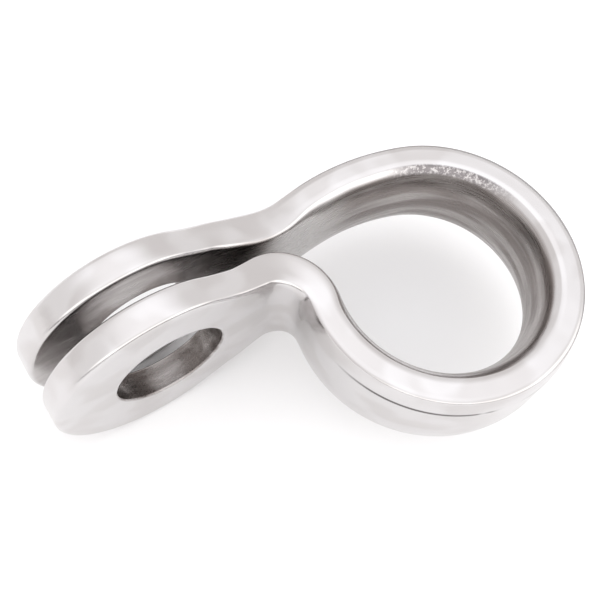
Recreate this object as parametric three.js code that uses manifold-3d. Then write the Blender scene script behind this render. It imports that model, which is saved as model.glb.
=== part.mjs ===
// Thimble eye: one flat strip of stainless steel, bent into a round eye, with two
// round lugs that lie side by side and share one pin hole.
//
// Frame, in millimetres: the origin is on the pin hole's axis, half way between the
// lugs. +X runs from the lugs to the eye, +Y along the pin hole towards the straight
// leg, and +Z along the eye's axis.

import * as THREE from "three";
import * as BufferGeometryUtils from "three/addons/utils/BufferGeometryUtils.js";
import Module from "manifold-3d";

// Driving dimensions
const LUG_THICKNESS = 3.0;
const EYE_THICKNESS = 3.5;
const THICKENING_START = 7; // distance from a lug's centre, along the strip
const THICKENING_END = 14;
const STRIP_WIDTH = 9.8;
const LUG_GAP = 2.3;
const LUG_RADIUS = 10.4;
const LUG_CENTRE_X = -0.9; // the round end is centred a little behind the pin hole
const LUG_FILLET_RADIUS = 28.8; // hollow flank that narrows a lug to the strip's width
const PIN_HOLE_RADIUS = 5.4;
const NECK_START_X = 7; // from here the legs draw together and part again
const NECK_DIP = THREE.MathUtils.degToRad(8);
const NECK_STRAIGHT = 3;
const NECK_RADIUS = 12;
const EYE_RISE = THREE.MathUtils.degToRad(14); // heading of the back leg into the eye
const SHOULDER_RADIUS = 25.7; // the eye's flatter start
const SHOULDER_FALL = THREE.MathUtils.degToRad(18);
const EYE_LINE_RADIUS = 12.6; // centre line of the round part of the eye
const EYE_CROWN = 1.0; // how far the inner wall bulges in, half way between the rims
const CROWN_START = 13; // distance from a lug's centre, along the strip
const CROWN_END = 21.5;
const FRONT_BEND_RADIUS = 3.9; // centre line of the sharp bend in the front leg
const FRONT_BEND_ANGLE = THREE.MathUtils.degToRad(100.6);
const FRONT_NECK = THREE.MathUtils.degToRad(6);
const FRONT_NECK_STRAIGHT = 2;

// Fineness of the facets
const LONGEST_STEP = 1.3; // along the strip
const WIDEST_TURN = THREE.MathUtils.degToRad(9);
const LEVELS = 6; // across the strip
const LUG_SIDES = 30; // in the half circle of a lug's end
const HOLE_SIDES = 60;
const CUT_MARGIN = 1; // how far a cutting body runs past what it cuts

// Worked out from them
const HALF_WIDTH = STRIP_WIDTH / 2;
const LUG_Y = (LUG_GAP + LUG_THICKNESS) / 2; // centre line of the back lug
const CENTRE_LINE = stripLine();
const LINE_LENGTH = totalLength(CENTRE_LINE);

const wasm = await Module();
wasm.setup();

function solidFrom(geometry) {
  const bare = geometry.index ? geometry.toNonIndexed() : geometry.clone();
  bare.deleteAttribute("normal");
  bare.deleteAttribute("uv");
  const merged = BufferGeometryUtils.mergeVertices(bare, 1e-4);
  return new wasm.Manifold(
    new wasm.Mesh({
      numProp: 3,
      vertProperties: new Float32Array(merged.attributes.position.array),
      triVerts: new Uint32Array(merged.index.array),
    }),
  );
}

function geometryFrom(solid) {
  const mesh = solid.getMesh();
  const geometry = new THREE.BufferGeometry();
  geometry.setAttribute("position", new THREE.BufferAttribute(mesh.vertProperties, 3));
  geometry.setIndex(new THREE.BufferAttribute(mesh.triVerts, 1));
  geometry.computeVertexNormals();
  return geometry;
}

function turned(angle, radius) {
  return { length: Math.abs(angle) * radius, turn: angle };
}

function totalLength(pieces) {
  return pieces.reduce((sum, piece) => sum + piece.length, 0);
}

// Place and heading at a distance along straight and curved pieces that start at the
// back lug's centre; a left turn is positive. Both ends run on straight.
function follow(pieces, distance) {
  let x = LUG_CENTRE_X;
  let y = LUG_Y;
  let heading = 0;
  let left = distance;
  for (const piece of pieces) {
    const last = piece === pieces.at(-1);
    const step = last ? left : Math.min(left, piece.length);
    const half = (piece.turn * step) / piece.length / 2;
    const chord = half === 0 ? step : (step * Math.sin(half)) / half;
    x += chord * Math.cos(heading + half);
    y += chord * Math.sin(heading + half);
    heading += 2 * half;
    left -= step;
    if (left <= 0) {
      break;
    }
  }
  return { x, y, heading };
}

// The strip's centre line from one lug's centre to the other's. The two straights of
// the front leg are as long as it takes to bring its lug beside the first one.
function stripLine() {
  const back = [
    { length: NECK_START_X - LUG_CENTRE_X, turn: 0 },
    turned(-NECK_DIP, NECK_RADIUS),
    { length: NECK_STRAIGHT, turn: 0 },
    turned(NECK_DIP + EYE_RISE, NECK_RADIUS),
    turned(-EYE_RISE - SHOULDER_FALL, SHOULDER_RADIUS),
    turned(SHOULDER_FALL - Math.PI - FRONT_BEND_ANGLE, EYE_LINE_RADIUS),
  ];
  const front = [
    turned(FRONT_BEND_ANGLE + FRONT_NECK, FRONT_BEND_RADIUS),
    { length: FRONT_NECK_STRAIGHT, turn: 0 },
    turned(-FRONT_NECK, NECK_RADIUS),
  ];
  const shortOf = [...back, ...front];
  const { x, y } = follow(shortOf, totalLength(shortOf));
  const legHeading = Math.PI - FRONT_BEND_ANGLE;
  const leg = (-LUG_Y - y) / Math.sin(legHeading);
  const lug = x + leg * Math.cos(legHeading) - LUG_CENTRE_X;
  return [...back, { length: leg, turn: 0 }, ...front, { length: lug, turn: 0 }];
}

// Distances along the strip at which it has a section, from tip to tip.
function stations() {
  const list = [-LUG_RADIUS - CUT_MARGIN];
  let start = 0;
  for (const { length, turn } of CENTRE_LINE) {
    const steps = Math.max(1, Math.ceil(Math.max(length / LONGEST_STEP, Math.abs(turn) / WIDEST_TURN)));
    for (let i = 0; i < steps; i += 1) {
      list.push(start + (length * i) / steps);
    }
    start += length;
  }
  list.push(LINE_LENGTH, LINE_LENGTH + LUG_RADIUS + CUT_MARGIN);
  return list;
}

// Half the strip's width at a distance from the nearer lug's centre: the lug's circle,
// then a fillet tangent to it, then the strip's parallel edges.
function halfWidthAt(distance) {
  const filletZ = HALF_WIDTH + LUG_FILLET_RADIUS;
  const centres = LUG_RADIUS + LUG_FILLET_RADIUS;
  const filletEnd = Math.sqrt(centres ** 2 - filletZ ** 2);
  const tangent = (filletEnd * LUG_RADIUS) / centres;
  if (distance <= 0) {
    return LUG_RADIUS;
  }
  if (distance <= tangent) {
    return Math.sqrt(LUG_RADIUS ** 2 - distance ** 2);
  }
  if (distance < filletEnd) {
    return filletZ - Math.sqrt(LUG_FILLET_RADIUS ** 2 - (filletEnd - distance) ** 2);
  }
  return HALF_WIDTH;
}

// A straight bar's points carried round the centre line, with the crown added to the
// inner face. The bar's long axis is X, its thickness is Y and its width is Z.
function bentStrip() {
  const sections = stations();
  const geometry = new THREE.BoxGeometry(1, 1, 1, sections.length - 1, 1, LEVELS);
  const points = geometry.attributes.position;
  for (let i = 0; i < points.count; i += 1) {
    const along = sections[Math.round((points.getX(i) + 0.5) * (sections.length - 1))];
    const across = 2 * points.getZ(i);
    const fromLug = Math.min(along, LINE_LENGTH - along);
    const thickening = THREE.MathUtils.smoothstep(fromLug, THICKENING_START, THICKENING_END);
    const thickness = THREE.MathUtils.lerp(LUG_THICKNESS, EYE_THICKNESS, thickening);
    const crown = EYE_CROWN * THREE.MathUtils.smoothstep(fromLug, CROWN_START, CROWN_END);
    const bulge = points.getY(i) < 0 ? crown * (1 - across ** 2) : 0;
    const offset = thickness * points.getY(i) - bulge;
    const { x, y, heading } = follow(CENTRE_LINE, along);
    points.setXYZ(
      i,
      x - offset * Math.sin(heading),
      y + offset * Math.cos(heading),
      halfWidthAt(fromLug) * across,
    );
  }
  return solidFrom(geometry);
}

// Everything that lies inside the lugs' round ends, seen along Y.
function lugEndLimit() {
  const farX = NECK_START_X + SHOULDER_RADIUS + 2 * EYE_LINE_RADIUS;
  const farZ = LUG_RADIUS + CUT_MARGIN;
  const outline = new THREE.Shape();
  outline.absarc(LUG_CENTRE_X, 0, LUG_RADIUS, Math.PI / 2, 1.5 * Math.PI, false);
  outline.lineTo(LUG_CENTRE_X, -farZ);
  outline.lineTo(farX, -farZ);
  outline.lineTo(farX, farZ);
  outline.lineTo(LUG_CENTRE_X, farZ);
  const depth = 2 * (EYE_LINE_RADIUS + EYE_THICKNESS);
  const geometry = new THREE.ExtrudeGeometry(outline, {
    depth: 2 * depth,
    bevelEnabled: false,
    curveSegments: LUG_SIDES,
    steps: 1,
  });
  geometry.translate(0, 0, -depth);
  geometry.rotateX(Math.PI / 2);
  return solidFrom(geometry);
}

function pinHoleCutter() {
  const length = 2 * LUG_THICKNESS + LUG_GAP + 2 * CUT_MARGIN;
  return solidFrom(new THREE.CylinderGeometry(PIN_HOLE_RADIUS, PIN_HOLE_RADIUS, length, HOLE_SIDES));
}

const strip = bentStrip().intersect(lugEndLimit()).subtract(pinHoleCutter());

const polishedSteel = new THREE.MeshStandardMaterial({
  color: 0xc9c8c8,
  roughness: 0.18,
  metalness: 1.0,
});

const eyeStrip = new THREE.Mesh(geometryFrom(strip), polishedSteel);
eyeStrip.name = "eye_strip";

const thimbleEye = new THREE.Group();
thimbleEye.name = "thimble_eye";
thimbleEye.add(eyeStrip);

export default thimbleEye;
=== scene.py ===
"""Visual model of a thimble eye: one polished steel strip bent into an eye with two
drilled lugs. The strip is laid out flat, as a blank with rounded edges, and every point
of the blank is then carried round the bends. Lengths in the named values are millimetres,
unless they say otherwise.
"""

import math

import bmesh
import bpy
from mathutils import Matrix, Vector


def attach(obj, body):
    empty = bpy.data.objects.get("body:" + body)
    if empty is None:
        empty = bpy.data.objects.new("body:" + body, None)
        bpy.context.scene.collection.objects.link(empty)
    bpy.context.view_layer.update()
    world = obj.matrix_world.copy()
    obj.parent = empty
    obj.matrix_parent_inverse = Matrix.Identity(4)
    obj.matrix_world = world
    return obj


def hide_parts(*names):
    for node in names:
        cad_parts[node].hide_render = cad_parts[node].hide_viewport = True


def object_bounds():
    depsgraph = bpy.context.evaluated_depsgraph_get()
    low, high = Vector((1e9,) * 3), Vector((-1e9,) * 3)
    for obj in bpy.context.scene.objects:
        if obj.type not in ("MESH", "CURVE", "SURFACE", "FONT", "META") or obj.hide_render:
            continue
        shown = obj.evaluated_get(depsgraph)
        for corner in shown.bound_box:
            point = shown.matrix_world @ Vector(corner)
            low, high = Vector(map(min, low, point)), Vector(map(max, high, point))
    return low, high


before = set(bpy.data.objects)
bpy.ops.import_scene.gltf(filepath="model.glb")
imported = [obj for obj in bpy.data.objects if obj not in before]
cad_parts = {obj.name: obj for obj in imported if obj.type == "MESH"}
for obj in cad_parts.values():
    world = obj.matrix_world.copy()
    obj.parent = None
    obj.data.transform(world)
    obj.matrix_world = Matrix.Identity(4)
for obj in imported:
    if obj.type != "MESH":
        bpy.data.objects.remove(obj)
cad_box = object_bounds()

MM = 0.001

# The strip, as in the CAD model
LUG_THICKNESS = 3.0
EYE_THICKNESS = 3.5
THICKENING = (7.0, 14.0)  # distances from a lug's centre, along the strip
STRIP_WIDTH = 9.8
LUG_GAP = 2.3
LUG_RADIUS = 10.4
LUG_CENTRE_X = -0.9
LUG_FILLET_RADIUS = 28.8
PIN_HOLE_RADIUS = 5.4
NECK_START_X = 7.0
NECK_DIP = math.radians(8)
NECK_STRAIGHT = 3.0
NECK_RADIUS = 12.0
EYE_RISE = math.radians(14)
SHOULDER_RADIUS = 25.7
SHOULDER_FALL = math.radians(18)
EYE_LINE_RADIUS = 12.6
EYE_CROWN = 1.0
CROWN_RUN = (13.0, 21.5)
FRONT_BEND_RADIUS = 3.9
FRONT_BEND_ANGLE = math.radians(100.6)
FRONT_NECK = math.radians(6)
FRONT_NECK_STRAIGHT = 2.0

# Edge rounding: how far it reaches across the strip's width, how deep it goes, and how
# flat it is, from 0 for round to 1 for a straight bevel
SKIN = 0.01  # the visual model stays this far inside the CAD solid
LUG_EDGE = (0.5, 0.5, 0.0)
EYE_OUTER_EDGE = (2.2, 0.4, 0.6)
EYE_INNER_EDGE = (0.85, 0.8, 0.8)
HOLE_EDGE = 0.25

# Fineness of the mesh
CIRCLE_STEPS = 44  # round a quarter of a lug and more
FILLET_STEP = 0.25
STRIP_STEP = 0.45
COLUMNS = 20
EDGE_STEPS = 7
RIM_STEPS = 4
LUG_RINGS = 7
LUG_CUT = 7.0  # from the lug's centre: where the rings round the hole give way to the strip

# The floor, in metres
FLOOR_HALF_SIZE = 3.0
FLOOR_DROP = 0.0001  # the floor lies this far below the part

# The camera
CAMERA_PLACE = (-13.81, -30.05, 76.33)
CAMERA_ANGLES = (30.65, -7.99, -33.99)  # degrees
CAMERA_LENS = 51.88
CAMERA_SENSOR = 36.0
CAMERA_SHIFT = (-0.0332, -0.1302)

HALF_WIDTH = STRIP_WIDTH / 2 - SKIN
LUG_END_RADIUS = LUG_RADIUS - SKIN
LUG_Y = (LUG_GAP + LUG_THICKNESS) / 2


def turned(angle, radius):
    return (abs(angle) * radius, angle)


def follow(pieces, distance):
    """x, y and heading at a distance along pieces of (length, turn in radians), a left
    turn positive, from the back lug's centre. The first and last pieces run on straight."""
    x, y, heading = LUG_CENTRE_X, LUG_Y, 0.0
    for number, (length, turn) in enumerate(pieces):
        last = number == len(pieces) - 1
        step = distance if last else min(distance, length)
        half = turn * step / length / 2
        chord = step * math.sin(half) / half if half else step
        x += chord * math.cos(heading + half)
        y += chord * math.sin(heading + half)
        heading += 2 * half
        distance -= step
        if distance <= 0.0 and not last:
            break
    return x, y, heading


def strip_line():
    """The strip's centre line from one lug's centre to the other's. The two straights of
    the front leg are as long as it takes to bring its lug beside the first one."""
    back = [
        (NECK_START_X - LUG_CENTRE_X, 0.0),
        turned(-NECK_DIP, NECK_RADIUS),
        (NECK_STRAIGHT, 0.0),
        turned(NECK_DIP + EYE_RISE, NECK_RADIUS),
        turned(-EYE_RISE - SHOULDER_FALL, SHOULDER_RADIUS),
        turned(SHOULDER_FALL - math.pi - FRONT_BEND_ANGLE, EYE_LINE_RADIUS),
    ]
    front = [
        turned(FRONT_BEND_ANGLE + FRONT_NECK, FRONT_BEND_RADIUS),
        (FRONT_NECK_STRAIGHT, 0.0),
        turned(-FRONT_NECK, NECK_RADIUS),
    ]
    short_of = back + front
    x, y, heading = follow(short_of, sum(length for length, turn in short_of))
    leg_heading = math.pi - FRONT_BEND_ANGLE
    leg = (-LUG_Y - y) / math.sin(leg_heading)
    lug = x + leg * math.cos(leg_heading) - LUG_CENTRE_X
    return back + [(leg, 0.0)] + front + [(lug, 0.0)]


CENTRE_LINE = strip_line()
LINE_LENGTH = sum(length for length, turn in CENTRE_LINE)


def smoothstep(value, low, high):
    t = min(max((value - low) / (high - low), 0.0), 1.0)
    return t * t * (3 - 2 * t)


def eye_share(s, run=CROWN_RUN):
    """0 at the lugs, rising to 1 round the eye over the given run of the strip."""
    return smoothstep(min(s, LINE_LENGTH - s), *run)


def half_thickness(s):
    thickness = LUG_THICKNESS + (EYE_THICKNESS - LUG_THICKNESS) * eye_share(s, THICKENING)
    return thickness / 2 - SKIN


def blend(lug, eye, share):
    return tuple(a + (b - a) * share for a, b in zip(lug, eye))


class Blank:
    """The flat blank's mesh. A corner is (s, z, off): its place along the strip, across
    the strip and off the middle of its thickness. Corners that coincide are one vertex."""

    def __init__(self):
        self.numbers = {}
        self.corners = []
        self.faces = []

    def corner(self, s, z, off):
        key = (round(s, 4), round(z, 4), round(off, 4))
        if key not in self.numbers:
            self.numbers[key] = len(self.corners)
            self.corners.append((s, z, off))
        return self.numbers[key]

    def grid(self, rows):
        for row, following in zip(rows, rows[1:]):
            for a, b, c, d in zip(row, row[1:], following[1:], following):
                if len({a, b, c, d}) > 2:
                    self.faces.append(tuple(dict.fromkeys((a, b, c, d))))


def border():
    """The blank's upper outline from tip to tip, as (s, z, outward normal's s and z)."""
    centres = LUG_END_RADIUS + LUG_FILLET_RADIUS
    fillet_z = HALF_WIDTH + LUG_FILLET_RADIUS
    fillet_end = math.sqrt(centres ** 2 - fillet_z ** 2)
    meeting = math.asin(fillet_end / centres)  # from the lug's Z axis to the tangent point
    lug = []
    for i in range(CIRCLE_STEPS):
        angle = math.pi - (math.pi / 2 + meeting) * i / CIRCLE_STEPS
        normal = (math.cos(angle), math.sin(angle))
        lug.append((LUG_END_RADIUS * normal[0], LUG_END_RADIUS * normal[1], *normal))
    fillet_steps = math.ceil(LUG_FILLET_RADIUS * meeting / FILLET_STEP)
    for i in range(fillet_steps):
        angle = meeting * (1 - i / fillet_steps)
        normal = (math.sin(angle), math.cos(angle))
        lug.append((
            fillet_end - LUG_FILLET_RADIUS * normal[0],
            fillet_z - LUG_FILLET_RADIUS * normal[1],
            *normal,
        ))
    parallel = LINE_LENGTH - 2 * fillet_end
    steps = math.ceil(parallel / STRIP_STEP)
    middle = [(fillet_end + parallel * i / steps, HALF_WIDTH, 0.0, 1.0) for i in range(steps + 1)]
    other = [(LINE_LENGTH - s, z, -normal_s, normal_z) for s, z, normal_s, normal_z in reversed(lug)]
    return lug + middle + other


def inner_bulge(s, z, lip_z):
    """How far the crowned inner face stands off the flat at a point."""
    return EYE_CROWN * eye_share(s) * max(0.0, 1 - (z / lip_z) ** 2)


def edge_profile(reach, depth, flatness):
    """Points round one edge, from the face to the rim, as (distance in from the outline,
    distance below the face). Flatness 0 is a quarter ellipse and 1 a straight bevel."""
    points = []
    for i in range(EDGE_STEPS + 1):
        share = i / EDGE_STEPS
        angle = math.pi / 2 * share
        across = 1 - math.sin(angle)
        down = 1 - math.cos(angle)
        points.append((
            reach * (across + (1 - share - across) * flatness),
            depth * (down + (share - down) * flatness),
        ))
    return points


def edge_row(blank, station, side):
    """One section of the strip's edge, from the outer face round the rim to the inner face."""
    s, z, normal_s, normal_z = station
    share = eye_share(s)
    half = half_thickness(s)
    outer = edge_profile(*blend(LUG_EDGE, EYE_OUTER_EDGE, share))
    inner = edge_profile(*blend(LUG_EDGE, EYE_INNER_EDGE, share))
    section = [(reach, half - depth) for reach, depth in outer]
    rim_top = half - outer[-1][1]
    rim_bottom = inner[-1][1] - half
    for i in range(1, RIM_STEPS):
        section.append((0.0, rim_top + (rim_bottom - rim_top) * i / RIM_STEPS))
    section += [(reach, depth - half) for reach, depth in reversed(inner)]
    return [
        blank.corner(s - normal_s * reach, side * (z - normal_z * reach), off)
        for reach, off in section
    ]


def face_row(blank, station, outer):
    """Corners straight across one face of the strip, from the lower edge to the upper."""
    s, z, normal_s, normal_z = station
    share = eye_share(s)
    reach = blend(LUG_EDGE, EYE_OUTER_EDGE if outer else EYE_INNER_EDGE, share)[0]
    row_s = s - normal_s * reach
    lip_z = z - normal_z * reach
    half = half_thickness(s)
    row = []
    for i in range(COLUMNS + 1):
        across = lip_z * (2 * i / COLUMNS - 1)
        off = half if outer else -half - inner_bulge(s, across, lip_z)
        row.append(blank.corner(row_s, across, off))
    return row


def lug_face(blank, stations, hole_s, outer):
    """Rings from the pin hole out to the lug's edge and to the cut across its neck.
    The stations run from the cut round to the lug's tip."""
    off = half_thickness(0.0) if outer else -half_thickness(0.0)
    reach = LUG_EDGE[0]
    upper = [(s - a * reach, z - b * reach) for s, z, a, b in stations]
    lower = [(s, -z) for s, z in reversed(upper[:-1])]
    cut_s, cut_z = upper[0]
    neck = [(cut_s, cut_z * (2 * i / COLUMNS - 1)) for i in range(1, COLUMNS)]
    loop = upper + lower + neck
    loop.append(loop[0])
    rings = []
    for ring in range(LUG_RINGS + 1):
        share = ring / LUG_RINGS
        row = []
        for s, z in loop:
            angle = math.atan2(z, s - hole_s)
            start = PIN_HOLE_RADIUS + HOLE_EDGE
            near = (hole_s + start * math.cos(angle), start * math.sin(angle))
            row.append(blank.corner(
                near[0] + (s - near[0]) * share,
                near[1] + (z - near[1]) * share,
                off,
            ))
        rings.append(row)
    blank.grid(rings)
    return [math.atan2(z, s - hole_s) for s, z in loop]


def hole_wall(blank, angles, hole_s):
    section = [
        (PIN_HOLE_RADIUS + reach, half_thickness(0.0) - depth)
        for reach, depth in edge_profile(HOLE_EDGE, HOLE_EDGE, 0.0)
    ]
    section += [(radius, -off) for radius, off in reversed(section)]
    blank.grid([
        [
            blank.corner(hole_s + radius * math.cos(angle), radius * math.sin(angle), off)
            for angle in angles
        ]
        for radius, off in section
    ])


def flat_blank():
    blank = Blank()
    stations = border()
    for side in (1, -1):
        blank.grid([edge_row(blank, station, side) for station in stations])
    first = next(i for i, station in enumerate(stations) if station[0] >= LUG_CUT)
    last = len(stations) - 1 - first
    for outer in (True, False):
        blank.grid([face_row(blank, station, outer) for station in stations[first:last + 1]])
    for lug_stations, hole_s in (
        (stations[first::-1], -LUG_CENTRE_X),
        (stations[last:], LINE_LENGTH + LUG_CENTRE_X),
    ):
        for outer in (True, False):
            angles = lug_face(blank, lug_stations, hole_s, outer)
        hole_wall(blank, angles, hole_s)
    return blank


def make_strip():
    blank = flat_blank()
    mesh = bpy.data.meshes.new("polished_strip")
    places = []
    for s, z, off in blank.corners:
        x, y, heading = follow(CENTRE_LINE, s)
        places.append(Vector((x - off * math.sin(heading), y + off * math.cos(heading), z)) * MM)
    mesh.from_pydata(places, [], blank.faces)
    along = mesh.attributes.new("strip_place", "FLOAT_VECTOR", "POINT")
    along.data.foreach_set("vector", [value for corner in blank.corners for value in corner])
    shape = bmesh.new()
    shape.from_mesh(mesh)
    bmesh.ops.recalc_face_normals(shape, faces=shape.faces)
    loose = [edge for edge in shape.edges if not edge.is_manifold]
    if loose:
        raise RuntimeError(f"the strip is open at {len(loose)} edges")
    shape.to_mesh(mesh)
    shape.free()
    for polygon in mesh.polygons:
        polygon.use_smooth = True
    strip = bpy.data.objects.new("polished_strip", mesh)
    bpy.context.scene.collection.objects.link(strip)
    return strip


class Nodes:
    """Short calls for building a node tree."""

    def __init__(self, tree):
        self.tree = tree

    def add(self, kind, inputs=None, **settings):
        made = self.tree.nodes.new(kind)
        for name, value in settings.items():
            setattr(made, name, value)
        for name, value in (inputs or {}).items():
            if isinstance(value, bpy.types.NodeSocket):
                self.tree.links.new(value, made.inputs[name])
            else:
                made.inputs[name].default_value = value
        return made

    def math(self, operation, *values):
        made = self.add("ShaderNodeMath", dict(enumerate(values)), operation=operation)
        return made.outputs[0]

    def spread(self, value, low, high, to_low=0.0, to_high=1.0):
        """The value's share of the way from low to high, smoothed, put in another range."""
        inputs = {
            "Value": value,
            "From Min": low,
            "From Max": high,
            "To Min": to_low,
            "To Max": to_high,
        }
        made = self.add("ShaderNodeMapRange", inputs, interpolation_type="SMOOTHSTEP")
        return made.outputs["Result"]

    def mix(self, share, first, second):
        made = self.add("ShaderNodeMix", data_type="RGBA")
        for number, value in zip((0, 6, 7), (share, first, second)):
            if isinstance(value, bpy.types.NodeSocket):
                self.tree.links.new(value, made.inputs[number])
            else:
                made.inputs[number].default_value = value
        return made.outputs[2]

    def noise(self, vector, scale, detail=3.0, roughness=0.5):
        inputs = {"Vector": vector, "Scale": scale, "Detail": detail, "Roughness": roughness}
        return self.add("ShaderNodeTexNoise", inputs).outputs["Fac"]

    def stretched(self, vector, factors):
        made = self.add("ShaderNodeVectorMath", {0: vector, 1: factors}, operation="MULTIPLY")
        return made.outputs[0]


def polished_steel():
    """Hand polished steel. The outer faces and rims are bright and slightly uneven, with a dark line
    painted as shade where the front leg's upper outer bevel ends. The inner faces are streaked along
    the strip and painted darker, as painted shade, except for a stretch on the back leg painted
    lighter, as painted light; the lip has a worn stretch."""
    material = bpy.data.materials.new("polished_steel")
    material.use_nodes = True
    nodes = Nodes(material.node_tree)
    shader = material.node_tree.nodes["Principled BSDF"]
    place = nodes.add("ShaderNodeAttribute", attribute_name="strip_place").outputs["Vector"]
    parts = nodes.add("ShaderNodeSeparateXYZ", {"Vector": place})
    off = parts.outputs["Z"]

    # The hole's wall, the inner faces and the painted shade line where the front leg's upper outer
    # bevel ends, by the distances along the strip from each lug's centre
    from_back = parts.outputs["X"]
    from_front = nodes.math("SUBTRACT", LINE_LENGTH, from_back)
    along = nodes.math("MINIMUM", from_back, from_front)
    from_hole = nodes.math("ADD", along, LUG_CENTRE_X)
    across = nodes.math("ABSOLUTE", parts.outputs["Y"])
    radius = nodes.math("SQRT", nodes.math(
        "ADD",
        nodes.math("MULTIPLY", from_hole, from_hole),
        nodes.math("MULTIPLY", across, across),
    ))
    hole = nodes.spread(radius, PIN_HOLE_RADIUS + HOLE_EDGE, PIN_HOLE_RADIUS)
    face = nodes.spread(off, -1.35, -1.65)
    inner = nodes.math("MAXIMUM", face, hole)
    bevel_end = HALF_WIDTH - EYE_OUTER_EDGE[0]
    from_line = nodes.math("ABSOLUTE", nodes.math("SUBTRACT", across, bevel_end))
    near_line = nodes.spread(from_line, 0.04, 0.30, 1.0, 0.0)
    outer_upper = nodes.math(
        "MULTIPLY",
        nodes.spread(off, 1.5, 1.7),
        nodes.spread(parts.outputs["Y"], 0.0, 1.0),
    )
    on_eye = nodes.math("MULTIPLY", outer_upper, nodes.math(
        "MULTIPLY",
        nodes.spread(from_front, 22.0, 28.0),
        nodes.spread(from_front, 47.0, 38.0),
    ))

    patches = nodes.noise(nodes.stretched(place, (0.22, 0.3, 0.3)), 1.0, 1.0)
    streaks = nodes.noise(nodes.stretched(place, (0.07, 0.9, 0.9)), 1.0, 2.0, 0.5)
    lines = nodes.noise(nodes.stretched(place, (0.25, 7.0, 7.0)), 1.0, 2.0, 0.5)
    grain = nodes.noise(place, 5.0, 3.0, 0.65)
    # Noise that breaks up the painted shade line along the front leg's outer bevel
    crease_shade_breakup = nodes.spread(nodes.noise(place, 0.35, 2.0), 0.36, 0.48)

    bright = nodes.mix(
        nodes.spread(patches, 0.40, 0.60),
        (0.575, 0.555, 0.55, 1.0),
        (0.645, 0.63, 0.63, 1.0),
    )
    # Inner faces: streaked colour, painted darker than the outer faces as painted shade
    inner_streaks_and_painted_shading = nodes.mix(
        nodes.spread(streaks, 0.36, 0.66),
        (0.25, 0.225, 0.215, 1.0),
        (0.44, 0.415, 0.405, 1.0),
    )
    # Painted shade: a dark line in the crease where the front leg's upper outer bevel ends, broken
    # up by noise
    painted_crease_shade = nodes.math("MULTIPLY", nodes.math("MULTIPLY", near_line, on_eye), crease_shade_breakup)
    outside = nodes.mix(painted_crease_shade, bright, (0.07, 0.06, 0.058, 1.0))
    # Painted light: a stretch of the back leg's inner face is painted lighter than the rest of the
    # inner faces
    back_leg_painted_light = nodes.math(
        "MULTIPLY",
        nodes.spread(from_back, 12.0, 16.0),
        nodes.spread(from_back, 26.0, 18.0),
    )
    inner_streaks_and_painted_shading = nodes.mix(back_leg_painted_light, inner_streaks_and_painted_shading, (0.56, 0.545, 0.535, 1.0))
    speckle = nodes.spread(nodes.noise(place, 2.4, 4.0, 0.7), 0.47, 0.60)
    lip_start = HALF_WIDTH - EYE_INNER_EDGE[0]
    lip = nodes.math(
        "MULTIPLY",
        nodes.spread(across, lip_start - 0.1, lip_start + 0.2),
        nodes.math(
            "MULTIPLY",
            nodes.spread(off, -0.9, -1.1),
            nodes.math(
                "MULTIPLY",
                nodes.spread(from_back, 28.0, 33.0),
                nodes.spread(from_back, 46.0, 40.0),
            ),
        ),
    )
    worn_lip = nodes.mix(speckle, (0.20, 0.185, 0.19, 1.0), (0.47, 0.45, 0.45, 1.0))
    colour = nodes.mix(lip, nodes.mix(inner, outside, inner_streaks_and_painted_shading), worn_lip)
    material.node_tree.links.new(colour, shader.inputs["Base Color"])

    gloss = nodes.spread(patches, 0.3, 0.7, 0.17, 0.27)
    brushed = nodes.spread(lines, 0.3, 0.7, 0.24, 0.34)
    roughness = nodes.add("ShaderNodeMix", {0: inner, 2: gloss, 3: brushed}).outputs[0]
    material.node_tree.links.new(roughness, shader.inputs["Roughness"])

    waves = nodes.add(
        "ShaderNodeBump",
        {"Height": patches, "Distance": 0.00025, "Strength": 0.5},
    ).outputs["Normal"]
    scratches = nodes.add(
        "ShaderNodeBump",
        {
            "Height": nodes.mix(inner, grain, lines),
            "Distance": 0.00001,
            "Strength": 0.15,
            "Normal": waves,
        },
    ).outputs["Normal"]
    material.node_tree.links.new(scratches, shader.inputs["Normal"])
    shader.inputs["Metallic"].default_value = 1.0
    return material


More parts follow.
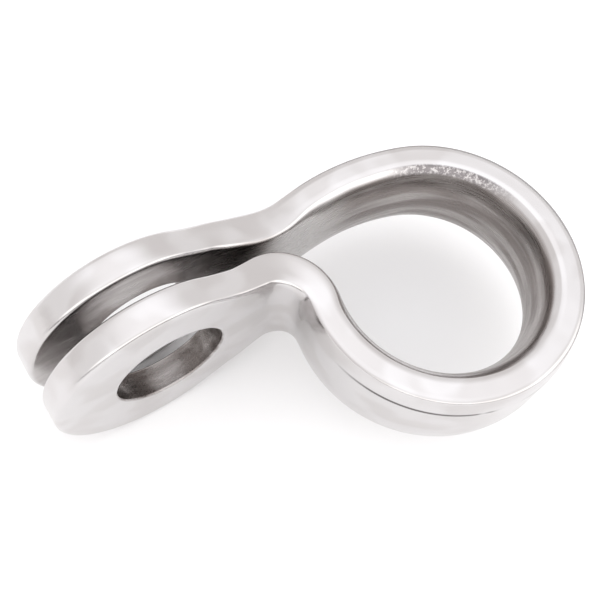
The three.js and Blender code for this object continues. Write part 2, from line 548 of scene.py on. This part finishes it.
def make_floor():
    mesh = bpy.data.meshes.new("floor")
    level = cad_box[0][2] - FLOOR_DROP
    signs = ((-1, -1), (1, -1), (1, 1), (-1, 1))
    mesh.from_pydata(
        [(x * FLOOR_HALF_SIZE, y * FLOOR_HALF_SIZE, level) for x, y in signs],
        [],
        [(0, 1, 2, 3)],
    )
    floor = bpy.data.objects.new("floor", mesh)
    bpy.context.scene.collection.objects.link(floor)
    material = bpy.data.materials.new("pale_floor")
    material.use_nodes = True
    shader = material.node_tree.nodes["Principled BSDF"]
    shader.inputs["Base Color"].default_value = (0.96, 0.96, 0.96, 1.0)
    shader.inputs["Roughness"].default_value = 0.9
    shader.inputs["Specular IOR Level"].default_value = 0.0
    mesh.materials.append(material)


def make_world():
    """A studio: bright overhead, with a white card in front and darkness under it."""
    world = bpy.data.worlds.new("studio")
    bpy.context.scene.world = world
    world.use_nodes = True
    nodes = Nodes(world.node_tree)
    direction = nodes.add("ShaderNodeTexCoord").outputs["Generated"]
    parts = nodes.add("ShaderNodeSeparateXYZ", {"Vector": direction})
    height = parts.outputs["Z"]
    overhead = nodes.mix(
        nodes.spread(height, 0.62, 0.97),
        (0.66, 0.645, 0.645, 1.0),
        (1.0, 1.0, 1.02, 1.0),
    )
    front = nodes.spread(parts.outputs["Y"], -0.2, -0.5)
    low = nodes.spread(height, 0.05, 0.22, 1.0, 0.0)
    card = nodes.math(
        "MULTIPLY",
        nodes.spread(height, 0.22, 0.30),
        nodes.spread(height, 0.75, 0.6),
    )
    colour = nodes.mix(nodes.math("MULTIPLY", low, front), overhead, (0.03, 0.027, 0.027, 1.0))
    colour = nodes.mix(nodes.math("MULTIPLY", card, front), colour, (1.25, 1.235, 1.22, 1.0))
    background = world.node_tree.nodes["Background"]
    world.node_tree.links.new(colour, background.inputs["Color"])
    background.inputs["Strength"].default_value = 1.62


def make_camera():
    data = bpy.data.cameras.new("camera")
    data.lens = CAMERA_LENS
    data.sensor_width = CAMERA_SENSOR
    data.shift_x, data.shift_y = CAMERA_SHIFT
    data.clip_start = 0.001
    camera = bpy.data.objects.new("camera", data)
    camera.location = Vector(CAMERA_PLACE) * MM
    camera.rotation_euler = [math.radians(angle) for angle in CAMERA_ANGLES]
    bpy.context.scene.collection.objects.link(camera)
    bpy.context.scene.camera = camera


strip = make_strip()
strip.data.materials.append(polished_steel())
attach(strip, "root")
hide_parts("eye_strip")

make_floor()
make_world()
make_camera()
bpy.context.scene.view_settings.view_transform = "Standard"
